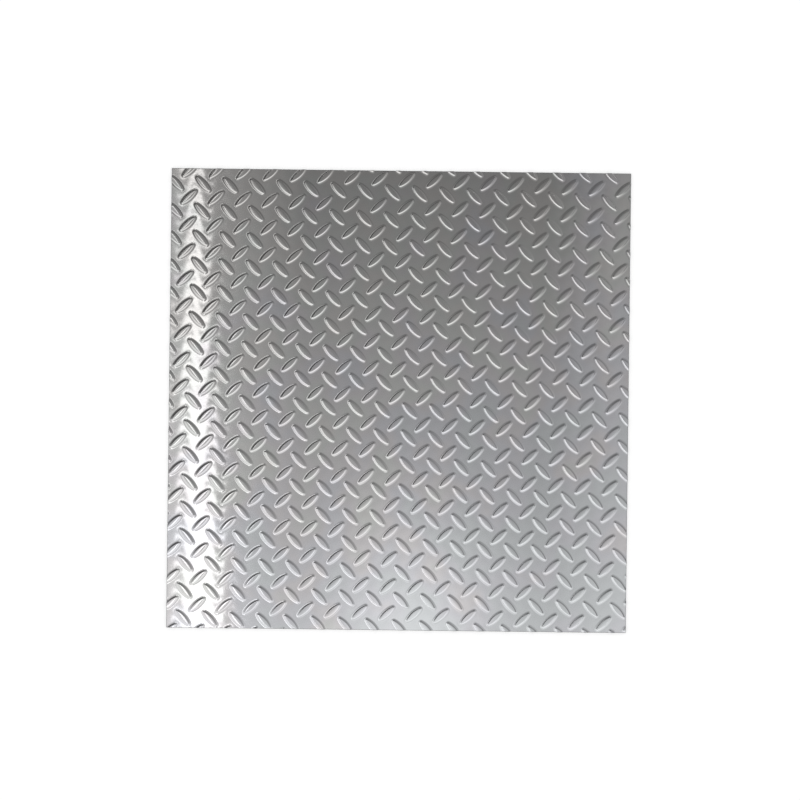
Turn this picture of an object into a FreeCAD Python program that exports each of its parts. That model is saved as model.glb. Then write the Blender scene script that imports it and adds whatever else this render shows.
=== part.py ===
"""Steel tread plate: a square of hot-rolled sheet with raised lens-shaped lugs on its upper face.

Units are millimetres. The underside lies on z = 0, and the origin is the middle of it. The plate's
edges run along X and Y, and the lugs stand up in +Z. The lugs form two square lattices of one pitch.
The second lattice lies half a pitch along both rows from the first, and its lugs are turned the
other way. The plate is cut out of a larger sheet, so a lug that meets an edge is cut off flush.
"""
import FreeCAD
import Part

import math
import os

Vector = FreeCAD.Vector
UP = Vector(0, 0, 1)

# The sheet
plate_length = 610.0  # along X
plate_width = 610.0  # along Y
sheet_thickness = 3.2  # between the lugs

# One lug: two long side arcs joined by small tip arcs, with drafted flanks and a flat top
lug_length = 26.5  # tip to tip, at the foot
lug_width = 7.9  # across the middle, at the foot
lug_height = 1.3
lug_flank_run = 1.5  # how far the flank leans in over the lug's height
lug_top_tip_radius = 0.4  # of the tip arcs in plan, at the top

# The lattices of lugs
lug_pitch = 36.0  # between neighbours that lie the same way
lug_angle = 45.0  # degrees, of a lug's long axis to the rows, one way in each lattice
pattern_turn = -2.0  # degrees, of the rows to the plate's edges
pattern_shift_x = -2.6  # of the first lattice's lug nearest the middle of the plate
pattern_shift_y = 5.1


def lug_arcs():
    """The four arcs of a lug's foot as (centre, radius, first angle, last angle), in order round it.

    Each side arc runs tangent into both tip arcs: the centres of a side and a tip are as far apart
    as their radii differ, which gives the side's radius.
    """
    tip_radius = lug_top_tip_radius + lug_flank_run
    tip_x = lug_length / 2 - tip_radius
    side_radius = (tip_x**2 + (lug_width / 2) ** 2 - tip_radius**2) / (lug_width - 2 * tip_radius)
    side_y = side_radius - lug_width / 2
    tangent = math.degrees(math.atan2(side_y, tip_x))
    return [
        (Vector(tip_x, 0, 0), tip_radius, -tangent, tangent),
        (Vector(0, -side_y, 0), side_radius, tangent, 180 - tangent),
        (Vector(-tip_x, 0, 0), tip_radius, 180 - tangent, 180 + tangent),
        (Vector(0, side_y, 0), side_radius, 180 + tangent, 360 - tangent),
    ]


def flank(centre, radius, first, last):
    """A conical flank: the slanted line from foot to top, turned about the arc's own centre."""
    start = math.radians(first)
    outward = Vector(math.cos(start), math.sin(start), 0)
    foot = centre + outward * radius
    top = centre + outward * (radius - lug_flank_run) + UP * lug_height
    return Part.makeLine(foot, top).revolve(centre, UP, last - first)


def lug_outline(inset, height):
    """The closed wire of the lug's foot arcs, drawn in by inset, at that height."""
    edges = [
        Part.makeCircle(radius - inset, centre + UP * height, UP, first, last)
        for centre, radius, first, last in lug_arcs()
    ]
    return Part.Wire(edges)


def make_lug():
    """One lug at the origin, its foot on z = 0 and its long axis along X."""
    faces = [flank(*arc) for arc in lug_arcs()]
    faces.append(Part.Face(lug_outline(0, 0)))
    faces.append(Part.Face(lug_outline(lug_flank_run, lug_height)))
    shell = Part.makeShell(faces)
    shell.sewShape()
    return Part.Solid(shell)


def lattice(half_step):
    """The lattice points whose lugs can reach the plate, moved half_step pitches along both rows."""
    turn = math.radians(pattern_turn)
    along_row = Vector(math.cos(turn), math.sin(turn), 0) * lug_pitch
    across_row = Vector(-math.sin(turn), math.cos(turn), 0) * lug_pitch
    middle = Vector(pattern_shift_x, pattern_shift_y, sheet_thickness)
    reach_x = (plate_length + lug_length) / 2
    reach_y = (plate_width + lug_length) / 2
    count = math.ceil(math.hypot(reach_x, reach_y) / lug_pitch) + 1
    points = []
    for i in range(-count, count + 1):
        for j in range(-count, count + 1):
            point = middle + along_row * (i + half_step) + across_row * (j + half_step)
            if abs(point.x) < reach_x and abs(point.y) < reach_y:
                points.append(point)
    return points


def cut_to_plate(lug, blank):
    """The solids of a lug that lie within the blank: all of it, the part inside an edge, or none."""
    box = lug.BoundBox
    inside_x = max(-box.XMin, box.XMax) < plate_length / 2
    inside_y = max(-box.YMin, box.YMax) < plate_width / 2
    if inside_x and inside_y:
        return lug.Solids
    return lug.common(blank).Solids


def make_plate():
    """The sheet with its lugs, as one solid."""
    corner = Vector(-plate_length / 2, -plate_width / 2, 0)
    sheet = Part.makeBox(plate_length, plate_width, sheet_thickness, corner)
    blank = Part.makeBox(plate_length, plate_width, sheet_thickness + lug_height, corner)
    pattern_lug = make_lug()
    lugs = []
    for half_step, angle in ((0.0, lug_angle), (0.5, -lug_angle)):
        rotation = FreeCAD.Rotation(UP, angle + pattern_turn)
        for point in lattice(half_step):
            lug = pattern_lug.copy()
            lug.Placement = FreeCAD.Placement(point, rotation)
            lugs.extend(cut_to_plate(lug, blank))
    return sheet.fuse(lugs).Solids[0]


os.makedirs("parts", exist_ok=True)
make_plate().exportStep("parts/tread_plate.step")
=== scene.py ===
"""The looks of a steel tread plate: bright mill-rolled steel with two lattices of raised lugs.

Everything is in metres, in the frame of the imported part: the underside lies on z = 0, the origin is
the middle of it, and the lugs stand up in +Z. The plate is one closed skin worked out with numpy.
Each lug is a patch of rings round its own outline, the patches tile the sheet like a basket weave,
and the tiled face is cut to the plate's outline and closed with cut edges and an underside.
"""

import bmesh
import bpy
import numpy as np
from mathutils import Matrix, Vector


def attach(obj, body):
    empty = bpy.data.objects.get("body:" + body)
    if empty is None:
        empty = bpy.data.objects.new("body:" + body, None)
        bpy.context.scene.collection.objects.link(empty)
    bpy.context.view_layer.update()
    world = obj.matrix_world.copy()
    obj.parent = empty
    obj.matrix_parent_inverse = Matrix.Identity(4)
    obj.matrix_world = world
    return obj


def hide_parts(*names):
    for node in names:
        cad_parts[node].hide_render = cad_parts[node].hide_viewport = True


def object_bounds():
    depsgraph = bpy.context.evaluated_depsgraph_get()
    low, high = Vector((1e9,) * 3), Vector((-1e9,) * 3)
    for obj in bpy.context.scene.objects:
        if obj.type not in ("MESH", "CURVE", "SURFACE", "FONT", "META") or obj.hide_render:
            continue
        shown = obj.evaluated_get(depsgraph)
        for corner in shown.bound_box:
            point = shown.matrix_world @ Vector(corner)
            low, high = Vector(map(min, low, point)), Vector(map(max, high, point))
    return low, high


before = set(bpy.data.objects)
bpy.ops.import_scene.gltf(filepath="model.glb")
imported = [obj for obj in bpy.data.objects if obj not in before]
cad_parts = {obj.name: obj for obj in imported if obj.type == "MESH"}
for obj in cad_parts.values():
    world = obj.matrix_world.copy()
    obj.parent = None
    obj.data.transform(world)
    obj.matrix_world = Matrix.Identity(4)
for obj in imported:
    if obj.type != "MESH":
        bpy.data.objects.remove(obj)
cad_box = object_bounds()
mm = 0.001

# The sheet and its lugs, as they are rolled
sheet_thickness = 3.2 * mm
lug_length = 26.5 * mm  # at the foot
lug_width = 7.9 * mm
lug_flank_run = 1.5 * mm
lug_top_tip_radius = 0.4 * mm
lug_pitch = 36.0 * mm
lug_angle = np.radians(45.0)
pattern_turn = np.radians(-2.0)
pattern_shift = np.array([-2.6, 5.1]) * mm

# How finely the rolled face is made
tip_steps = 5  # faces round each tip of a lug, an odd number so that none stands on the point
side_steps = tip_steps + 2  # faces along each long side
tile_half_length = 17.0 * mm  # of the rectangle of sheet that each lug's patch covers
seam = 0.001 * mm  # neighbouring tiles' points are nearer than this
weld = 0.02 * mm  # along the cut, points nearer than this become one

# The section through a lug's side: how far in from the foot, and how high for a lug 1 high.
# The last inset stays under the radius of the foot's tip, 1.9 mm, or faces would cross.
section_inset = np.array([-2.4, -0.25, 0.65, 1.3, 1.75]) * mm
section_height = np.array([0.0, 0.0, 0.47, 0.95, 1.0])
sink = np.array([1.0, 0.5, 0.0, 0.0, 0.0]) * 0.09 * mm  # the sheet is drawn down beside a lug
arris = 0.55 * mm  # the broken corner along the cut edges

# The sheet's unevenness: sine waves, each as radians a metre along X and along Y, and a start
wave_depth = 0.04 * mm
slow_waves = [(23.0, 9.0, 0.7), (-6.0, 17.0, 2.1)]
slow_share = 0.35
fast_waves = [(61.0, -38.0, 0.0), (29.0, 53.0, 1.3)]
fast_share = 0.15

# The rolled steel. Scales are cycles a metre, and a stretch under 1 draws a pattern out
noise_span = (0.3, 0.7)  # where most of a noise's values lie
tint_scale = 14.0
tint_lean = (0.3, -0.5)  # how the tints drift, a metre towards +X and +Y
tints = [
    (0.30, (0.614, 0.600, 0.588)),
    (0.40, (0.597, 0.603, 0.590)),
    (0.50, (0.612, 0.594, 0.602)),
    (0.60, (0.592, 0.592, 0.618)),
    (0.72, (0.580, 0.597, 0.608)),
]
grain_scale = 700.0
grain_stretch = (0.35, 1.0, 1.0)
grain_roughness = 0.02  # more or less, by the grain
smudge_scale = 28.0
smudge_roughness = (0.065, 0.105)
relief_scale = 160.0
grain_in_relief = 0.25
relief_depth = 0.018 * mm

# The cut edges
score_scale = 900.0
score_stretch = (1.0, 1.0, 0.05)
# Painted shade: these dark colours stand in for the thin line of shade along the plate's outline; only
# their streaks are the shear's own scoring
score_tones_with_painted_shade = [(0.35, (0.08, 0.08, 0.085)), (0.65, (0.15, 0.15, 0.155))]
score_roughness = (0.36, 0.5)
score_depth = 0.05 * mm

# The studio: an overhead panel, a ring of panels round the plate, and a white floor.
# Each run of light is given as from, to, and the level at each.
overhead_height = 0.90
overhead_half = 1.4
sky_level = 0.45
sky_fall = 1.14  # how fast the sky darkens towards +Y, a metre
sky_near = -0.65  # along Y, where it is at its brightest, and where at its darkest
sky_far = 0.80
lamp_at = (0.025, -0.50)
lamp_width = (0.118, 0.18)
lamp_level = 0.36
strip_outer = (-0.468, -0.450, 0.10, 1.25)  # along X, the strip's outer edge
strip_inner = (-0.412, -0.394, 1.0, 0.0)  # the share of it that is left past its inner edge
strip_slant = 0.059  # how much wider the strip gets a metre towards -Y
left_spill = (-0.43, -0.20, 0.15, 0.0)  # along X
right_spill = (0.32, 0.48, 0.0, 0.13)
dark_beyond = (-0.74, -0.62, 0.75, 0.0)  # along X, the share of the light that is lost
dark_half = (-0.15, 0.15, 0.0, 1.0)  # along Y, how much of that loss holds
surround_radius = 1.35
surround_sides = 24
surround_low = 0.02
surround_lean = 0.3  # how far the bright side turns towards -X
front_light = (-0.9, 0.1, 1.14, 0.05)  # along Y, bright to dark
side_light = (-0.9, 1.2, 0.0, 0.25)  # along X
top_light = (0.25 * overhead_height, overhead_height, 0.0, 0.20)  # along Z
floor_half = 4.0
floor_white = 0.8
floor_lift = 0.47
world_light = 0.7

# The camera
view_width = 1.061  # across the frame, at the plate
view_offset = (0.0017, 0.0007)
view_roll = np.radians(0.7)
view_lens = 50.0


# ---------------------------------------------------------------- the plate's shape

def outline_arcs():
    """Centres, radii and angles of points round a lug's foot, counter-clockwise from the +X tip.

    The outline is four arcs. Each side arc runs tangent into both tip arcs, so the distance from a
    side's centre to a tip's centre is the difference of their radii, which gives the side's radius.
    """
    tip_radius = lug_top_tip_radius + lug_flank_run
    tip_x = lug_length / 2 - tip_radius
    side_radius = (tip_x**2 + (lug_width / 2) ** 2 - tip_radius**2) / (lug_width - 2 * tip_radius)
    side_y = side_radius - lug_width / 2
    tangent = np.arctan2(side_y, tip_x)
    tip = np.linspace(-tangent, tangent, tip_steps, endpoint=False)
    side = np.linspace(tangent, np.pi - tangent, side_steps, endpoint=False)
    counts = [tip_steps, side_steps, tip_steps, side_steps]
    centre = np.repeat([[tip_x, 0], [0, -side_y], [-tip_x, 0], [0, side_y]], counts, axis=0)
    radius = np.repeat([tip_radius, side_radius, tip_radius, side_radius], counts)
    return centre, radius, np.concatenate([tip, side, tip + np.pi, side + np.pi])


def tile_edge(half_length, half_width):
    """Points round a lug's tile, paired with the points round the lug.

    The tile is a rectangle with its long sides along X. Its short sides, and the middle of its long
    sides where a neighbour's short side meets them, have the same even steps, so neighbours share
    every point.
    """
    step = np.linspace(-half_width, half_width, tip_steps + 1)
    short = np.stack([np.full(tip_steps, half_length), step[:-1]], axis=1)
    along = np.concatenate([[half_length], -step])
    long = np.stack([along, np.full(side_steps, half_width)], axis=1)
    return np.concatenate([short, long, -short, -long])


def lug_patch(half_length, half_width):
    """Points of one lug with its tile, as rings from the tile's edge in to the lug's flat top.

    Every ring but the outermost is the lug's outline moved inwards by the section's inset. A point
    is its arc's centre plus the arc's radius, less the inset, in the direction of its angle. The
    section starts in the shallow sink round the foot, climbs the flank and rounds into the top.
    """
    centre, radius, angle = outline_arcs()
    outward = np.stack([np.cos(angle), np.sin(angle)], axis=1)
    rings = centre + (radius - section_inset[:, None])[..., None] * outward
    rings = np.concatenate([tile_edge(half_length, half_width)[None], rings])
    lug_height = cad_box[1][2] - sheet_thickness
    height = np.concatenate([[0.0], section_height * lug_height - sink])
    z = np.broadcast_to(height[:, None, None], rings.shape[:2] + (1,))
    return np.concatenate([rings, z], axis=2)


def patch_faces(ring_count, around):
    """Quads between neighbouring rings, and quads across the flat top from side to side.

    On the top, each quad joins two neighbouring points to the two that mirror them over the lug's
    long axis, in a row from one tip to the other.
    """
    ring = np.arange(ring_count - 1)[:, None] * around
    here = np.arange(around)
    after = (here + 1) % around
    bands = np.stack([ring + here, ring + after, ring + around + after, ring + around + here], axis=-1)
    first = np.arange(around // 2 - 1) + (tip_steps + 1) // 2
    across = np.stack([first, first + 1, tip_steps - first - 1, tip_steps - first], axis=-1) % around
    return np.concatenate([bands.reshape(-1, 4), across + (ring_count - 1) * around])


def rolled_face():
    """Points and faces of the rolled face of a sheet larger than the plate, lugs and all.

    With u along the first lattice's lugs, all the lugs lie on one square grid in u and v whose step
    is the pitch over the square root of two. Every second lug is turned a quarter turn. The tiles
    leave one small square beside each lug, at the middle of each square of the grid.
    """
    step = lug_pitch / np.sqrt(2.0)
    half_width = step - tile_half_length
    half_gap = (tile_half_length - half_width) / 2
    patch = lug_patch(tile_half_length, half_width)
    ring_count, around = patch.shape[:2]
    patch = patch.reshape(-1, 3)
    turned = patch[:, [1, 0, 2]] * [-1, 1, 1]
    gap = np.array([[-1, -1, 0], [1, -1, 0], [1, 1, 0], [-1, 1, 0]]) * half_gap

    reach = np.abs(np.array(cad_box)[:, :2]).max() + 2 * step
    count = int(np.ceil(np.sqrt(2.0) * reach / step))
    i, j = (grid.ravel() for grid in np.meshgrid(*[np.arange(-count, count + 1)] * 2))
    angle = lug_angle + pattern_turn
    turn = np.array([[np.cos(angle), np.sin(angle)], [-np.sin(angle), np.cos(angle)]])
    centre = np.stack([i, j], axis=1) * step
    near = (np.abs(centre @ turn + pattern_shift) < reach).all(axis=1)
    centre = np.pad(centre[near], ((0, 0), (0, 1)))
    odd = ((i + j)[near] % 2)[:, None, None]

    lugs = np.where(odd == 1, turned, patch) + centre[:, None]
    gaps = gap + centre[:, None] + [step / 2, step / 2, 0]
    points = np.concatenate([lugs.reshape(-1, 3), gaps.reshape(-1, 3)])
    points[:, :2] = points[:, :2] @ turn + pattern_shift

    lug_faces = patch_faces(ring_count, around)
    first = np.arange(len(lugs))[:, None, None] * len(patch)
    gap_faces = np.arange(len(lugs) * 4).reshape(-1, 4) + len(lugs) * len(patch)
    return points, np.concatenate([(lug_faces + first).reshape(-1, 4), gap_faces])


def unevenness(x, y):
    """How far the sheet lies below true, from 0 to 1.

    It is a half, plus a share of the product of two slow sine waves that cross, plus a share of the
    product of two fast ones.
    """
    slow, fast = (
        np.prod([np.sin(across * x + along * y + start) for across, along, start in waves], axis=0)
        for waves in (slow_waves, fast_waves)
    )
    return 0.5 + slow_share * slow + fast_share * fast


def cut_to_outline(shape, half):
    """Cut the rolled face square to the plate, along four upright planes."""
    for axis in (0, 1):
        for side in (1, -1):
            normal = np.eye(3)[axis] * side
            every = shape.verts[:] + shape.edges[:] + shape.faces[:]
            bmesh.ops.bisect_plane(
                shape, geom=every, plane_co=normal * half[axis], plane_no=normal, clear_outer=True,
                dist=weld,
            )
    bmesh.ops.remove_doubles(shape, verts=shape.verts[:], dist=weld)


def close_underneath(shape, half):
    """Carry the cut outline down as the plate's edge and fill the underside.

    The outline's edges are marked sharp, so that the rolled face's shading stops there. The outline
    goes once round the origin, so the angle about the origin puts its verts in order.
    The edge's profile goes out and down over the upper arris, straight down the cut, and in under
    the lower arris. The verts at a corner go out along both directions.
    """
    for edge in shape.edges:
        edge.smooth = not edge.is_boundary
    rim = [vert for vert in shape.verts if vert.is_boundary]
    rim.sort(key=lambda vert: np.arctan2(vert.co.y, vert.co.x))
    at = np.array([vert.co for vert in rim])
    outward = np.sign(at[:, :2]) * (np.abs(at[:, :2]) > half - 2 * weld)
    at[:, :2] = np.where(outward == 0, at[:, :2], outward * half)
    profile = [(0.0, at[:, 2]), (arris, at[:, 2] - arris), (arris, arris), (0.0, 0.0)]
    rows = [
        np.column_stack([at[:, :2] + out * outward, np.broadcast_to(height, len(rim))])
        for out, height in profile
    ]
    for vert, point in zip(rim, rows[0]):
        vert.co = point
    upper = rim
    for row in rows[1:]:
        lower = [shape.verts.new(point) for point in row]
        for k in range(len(rim)):
            after = (k + 1) % len(rim)
            shape.faces.new((upper[k], lower[k], lower[after], upper[after])).material_index = 1
        upper = lower
    shape.faces.new(upper[::-1])


def make_plate():
    """The plate's skin as one closed mesh, smooth over the rolled face and flat elsewhere."""
    half = np.array(cad_box[1][:2]) - arris
    points, faces = rolled_face()
    points[:, 2] += sheet_thickness - wave_depth * unevenness(points[:, 0], points[:, 1])
    mesh = bpy.data.meshes.new("tread_plate_skin")
    mesh.from_pydata(points.tolist(), [], faces.tolist())
    mesh.polygons.foreach_set("use_smooth", np.ones(len(faces), dtype=bool))
    shape = bmesh.new()
    shape.from_mesh(mesh)
    bmesh.ops.remove_doubles(shape, verts=shape.verts[:], dist=seam)
    cut_to_outline(shape, half)
    close_underneath(shape, half)
    shape.to_mesh(mesh)
    shape.free()
    mesh.update()
    plate = bpy.data.objects.new("tread_plate_skin", mesh)
    bpy.context.scene.collection.objects.link(plate)
    return plate


# ---------------------------------------------------------------- materials

def new_material(name):
    """A node material with nothing in it yet, and its node tree."""
    material = bpy.data.materials.new(name)
    material.use_nodes = True
    material.node_tree.nodes.clear()
    return material, material.node_tree


def add(tree, kind, **settings):
    """A new node of a kind, with its settings."""
    node = tree.nodes.new(kind)
    for name, value in settings.items():
        setattr(node, name, value)
    return node


def math(tree, operation, *values):
    """A Math node whose inputs are numbers or sockets."""
    node = add(tree, "ShaderNodeMath", operation=operation)
    for socket, value in zip(node.inputs, values):
        if isinstance(value, bpy.types.NodeSocket):
            tree.links.new(value, socket)
        else:
            socket.default_value = value
    return node.outputs[0]


def noise(tree, where, scale, detail, stretch=(1, 1, 1)):
    """Noise over the piece's own coordinates, in cycles a metre, drawn out along an axis by stretch."""
    mapping = add(tree, "ShaderNodeMapping")
    mapping.inputs["Scale"].default_value = stretch
    tree.links.new(where, mapping.inputs["Vector"])
    node = add(tree, "ShaderNodeTexNoise")
    node.inputs["Scale"].default_value = scale
    node.inputs["Detail"].default_value = detail
    tree.links.new(mapping.outputs["Vector"], node.inputs["Vector"])
    return node.outputs["Fac"]


def remap(tree, value, low, high, to_low, to_high):
    """Map low..high to to_low..to_high, clamped."""
    node = add(tree, "ShaderNodeMapRange")
    tree.links.new(value, node.inputs["Value"])
    for name, number in (("From Min", low), ("From Max", high), ("To Min", to_low), ("To Max", to_high)):
        node.inputs[name].default_value = number
    return node.outputs["Result"]


def ramp(tree, value, stops):
    """A colour ramp with the stops (position, colour)."""
    node = add(tree, "ShaderNodeValToRGB")
    while len(node.color_ramp.elements) < len(stops):
        node.color_ramp.elements.new(0.5)
    for element, (position, colour) in zip(node.color_ramp.elements, stops):
        element.position = position
        element.color = (*colour, 1.0)
    tree.links.new(value, node.inputs["Fac"])
    return node.outputs["Color"]


def raise_relief(tree, steel, height, distance):
    """Join a height, 0 to 1, to the steel as a bump this deep."""
    bump = add(tree, "ShaderNodeBump")
    bump.inputs["Strength"].default_value = 1.0
    bump.inputs["Distance"].default_value = distance
    tree.links.new(height, bump.inputs["Height"])
    tree.links.new(bump.outputs["Normal"], steel.inputs["Normal"])


def steel_material(name):
    """A new metal, its tree, its shader and its object coordinates."""
    material, tree = new_material(name)
    steel = add(tree, "ShaderNodeBsdfPrincipled")
    steel.inputs["Metallic"].default_value = 1.0
    output = add(tree, "ShaderNodeOutputMaterial")
    tree.links.new(steel.outputs["BSDF"], output.inputs["Surface"])
    return material, tree, steel, add(tree, "ShaderNodeTexCoord").outputs["Object"]


def bright_steel():
    """Mill-rolled steel: faint patches of tint, a fine grain along X, soft smudges.

    The tint goes by patchy noise with a lean across the plate, from beige through grey and
    lavender to a green-blue.
    """
    material, tree, steel, where = steel_material("bright mill-rolled steel")
    place = add(tree, "ShaderNodeSeparateXYZ")
    tree.links.new(where, place.inputs[0])
    lean = math(
        tree, "ADD", math(tree, "MULTIPLY", place.outputs["X"], tint_lean[0]),
        math(tree, "MULTIPLY", place.outputs["Y"], tint_lean[1]),
    )
    tint = ramp(tree, math(tree, "ADD", noise(tree, where, tint_scale, 2.0), lean), tints)
    tree.links.new(tint, steel.inputs["Base Color"])
    grain = noise(tree, where, grain_scale, 3.0, grain_stretch)
    smudge = remap(tree, noise(tree, where, smudge_scale, 4.0), *noise_span, *smudge_roughness)
    by_grain = remap(tree, grain, *noise_span, -grain_roughness, grain_roughness)
    tree.links.new(math(tree, "ADD", by_grain, smudge), steel.inputs["Roughness"])
    fine = math(tree, "MULTIPLY", grain, grain_in_relief)
    relief = math(tree, "ADD", fine, noise(tree, where, relief_scale, 2.0))
    raise_relief(tree, steel, relief, relief_depth)
    return material


def sheared_steel():
    """The cut edges: rougher and scored straight down by the shear. Their dark colour is painted shade,
    for the thin line of shade along the plate's outline.
    """
    material, tree, steel, where = steel_material("sheared steel edge painted dark as shade")
    score = noise(tree, where, score_scale, 3.0, score_stretch)
    # Painted shade: the dark base colour paints the line of shade along the plate's edge, over the real
    # scoring
    tree.links.new(ramp(tree, score, score_tones_with_painted_shade), steel.inputs["Base Color"])
    tree.links.new(remap(tree, score, *noise_span, *score_roughness), steel.inputs["Roughness"])
    raise_relief(tree, steel, score, score_depth)
    return material


# ---------------------------------------------------------------- the studio

def seen_directly(tree):
    """1 where a camera, glossy or transmission ray looks, so that metal shows the same white."""
    path = add(tree, "ShaderNodeLightPath")
    direct = math(tree, "MAXIMUM", path.outputs["Is Camera Ray"], path.outputs["Is Glossy Ray"])
    return math(tree, "MAXIMUM", direct, path.outputs["Is Transmission Ray"])


def white_floor():
    """A white floor under the plate that keeps its shadow: lit paper, with a lift where it is seen."""
    mesh = bpy.data.meshes.new("studio_floor")
    corners = np.array([[-1, -1, 0], [1, -1, 0], [1, 1, 0], [-1, 1, 0]]) * floor_half
    mesh.from_pydata(corners.tolist(), [], [(0, 1, 2, 3)])
    floor = bpy.data.objects.new("studio_floor", mesh)
    bpy.context.scene.collection.objects.link(floor)
    material, tree = new_material("white studio floor")
    paper = add(tree, "ShaderNodeBsdfDiffuse")
    paper.inputs["Color"].default_value = (floor_white, floor_white, floor_white, 1.0)
    glow = add(tree, "ShaderNodeEmission")
    tree.links.new(math(tree, "MULTIPLY", seen_directly(tree), floor_lift), glow.inputs["Strength"])
    both = add(tree, "ShaderNodeAddShader")
    tree.links.new(paper.outputs[0], both.inputs[0])
    tree.links.new(glow.outputs[0], both.inputs[1])
    output = add(tree, "ShaderNodeOutputMaterial")
    tree.links.new(both.outputs[0], output.inputs["Surface"])
    mesh.materials.append(material)


def white_world():
    """An even white surround, seen as white and lighting a little softer."""
    world = bpy.data.worlds.new("white surround")
    bpy.context.scene.world = world
    world.use_nodes = True
    tree = world.node_tree
    tree.nodes.clear()
    background = add(tree, "ShaderNodeBackground")
    background.inputs["Color"].default_value = (1.0, 1.0, 1.0, 1.0)
    lift = math(tree, "MULTIPLY", seen_directly(tree), 1.0 - world_light)
    tree.links.new(math(tree, "ADD", world_light, lift), background.inputs["Strength"])
    output = add(tree, "ShaderNodeOutputWorld")
    tree.links.new(background.outputs[0], output.inputs["Surface"])


def stage_light(name, points, faces, build):
    """A lamp panel made as a mesh whose glow the function build works out.

    It shows only in the metal: the camera looks past it, and the floor is lit as if it weren't there.
    """
    mesh = bpy.data.meshes.new(name)
    mesh.from_pydata(points, [], faces)
    panel = bpy.data.objects.new(name, mesh)
    bpy.context.scene.collection.objects.link(panel)
    material, tree = new_material(name + " glow")
    where = add(tree, "ShaderNodeSeparateXYZ")
    tree.links.new(add(tree, "ShaderNodeTexCoord").outputs["Object"], where.inputs[0])
    glow = add(tree, "ShaderNodeEmission")
    tree.links.new(build(tree, where.outputs), glow.inputs["Strength"])
    output = add(tree, "ShaderNodeOutputMaterial")
    tree.links.new(glow.outputs[0], output.inputs["Surface"])
    mesh.materials.append(material)
    panel.visible_camera = False
    panel.visible_diffuse = False
    panel.visible_shadow = False


def bell(tree, value, middle, width):
    """The bell curve's exponent: minus half the square of the distance from the middle in widths."""
    away = math(tree, "DIVIDE", math(tree, "SUBTRACT", value, middle), width)
    return math(tree, "MULTIPLY", math(tree, "MULTIPLY", away, away), -0.5)


def overhead_glow(tree, place):
    """Brightness over the overhead panel, in parts added up.

    An even sky falls off exponentially towards +Y. A soft round lamp, bright as a bell curve, hangs
    past the middle of the -Y side. A strip of light runs along the -X side, wider towards -Y and weak
    outside it. Faint spills lie along the -X and +X sides. Past the strip, the +Y half is darker.
    """
    x, y = place["X"], place["Y"]
    fall = remap(tree, y, sky_near, sky_far, -sky_fall * sky_near, -sky_fall * sky_far)
    sky = math(tree, "MULTIPLY", math(tree, "EXPONENT", fall), sky_level)
    across, along = (
        bell(tree, value, middle, width) for value, middle, width in zip((x, y), lamp_at, lamp_width)
    )
    lamp = math(tree, "MULTIPLY", math(tree, "EXPONENT", math(tree, "ADD", across, along)), lamp_level)
    slanted = math(tree, "ADD", x, math(tree, "MULTIPLY", y, strip_slant))
    strip = math(tree, "MULTIPLY", remap(tree, x, *strip_outer), remap(tree, slanted, *strip_inner))
    total = sky
    for part in (lamp, strip, remap(tree, x, *left_spill), remap(tree, x, *right_spill)):
        total = math(tree, "ADD", total, part)
    dark = math(tree, "MULTIPLY", remap(tree, x, *dark_beyond), remap(tree, y, *dark_half))
    return math(tree, "MULTIPLY", total, math(tree, "SUBTRACT", 1.0, dark))


def surround_glow(tree, place):
    """Brightness of the panels round the plate: bright on -Y, most so towards -X, and dark on +Y.

    A little light is added towards +X, and towards the top.
    """
    leaning = math(tree, "ADD", place["Y"], math(tree, "MULTIPLY", place["X"], surround_lean))
    front = remap(tree, leaning, *front_light)
    side = remap(tree, place["X"], *side_light)
    top = remap(tree, place["Z"], *top_light)
    return math(tree, "ADD", math(tree, "ADD", front, side), top)


def studio():
    """Floor, surround, an overhead panel and a ring of panels round the plate."""
    white_floor()
    white_world()
    corners = np.array([[-1, -1], [-1, 1], [1, 1], [1, -1]]) * overhead_half
    overhead = np.column_stack([corners, np.full(4, overhead_height)])
    stage_light("overhead_panel", overhead.tolist(), [(0, 1, 2, 3)], overhead_glow)
    angle = np.linspace(0, 2 * np.pi, surround_sides, endpoint=False)
    ring = np.stack([np.cos(angle), np.sin(angle)], axis=1) * surround_radius
    low = np.column_stack([ring, np.full(surround_sides, surround_low)])
    high = np.column_stack([ring, np.full(surround_sides, overhead_height)])
    here = np.arange(surround_sides)
    after = (here + 1) % surround_sides
    faces = np.stack([here, here + surround_sides, after + surround_sides, after], axis=1)
    stage_light("surround_panels", np.concatenate([low, high]).tolist(), faces.tolist(), surround_glow)


def camera_above():
    """A camera straight above, turned a little so that the plate's edges lie a little off square."""
    scene = bpy.context.scene
    data = bpy.data.cameras.new("camera_above")
    data.lens = view_lens
    camera = bpy.data.objects.new("camera_above", data)
    distance = view_lens / data.sensor_width * view_width
    camera.location = (*view_offset, cad_box[1][2] + distance)
    camera.rotation_euler = (0.0, 0.0, view_roll)
    scene.collection.objects.link(camera)
    scene.camera = camera


plate = make_plate()
plate.data.materials.append(bright_steel())
plate.data.materials.append(sheared_steel())
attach(plate, "root")
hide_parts("tread_plate")
studio()
camera_above()

bpy.context.scene.view_settings.view_transform = "Standard"
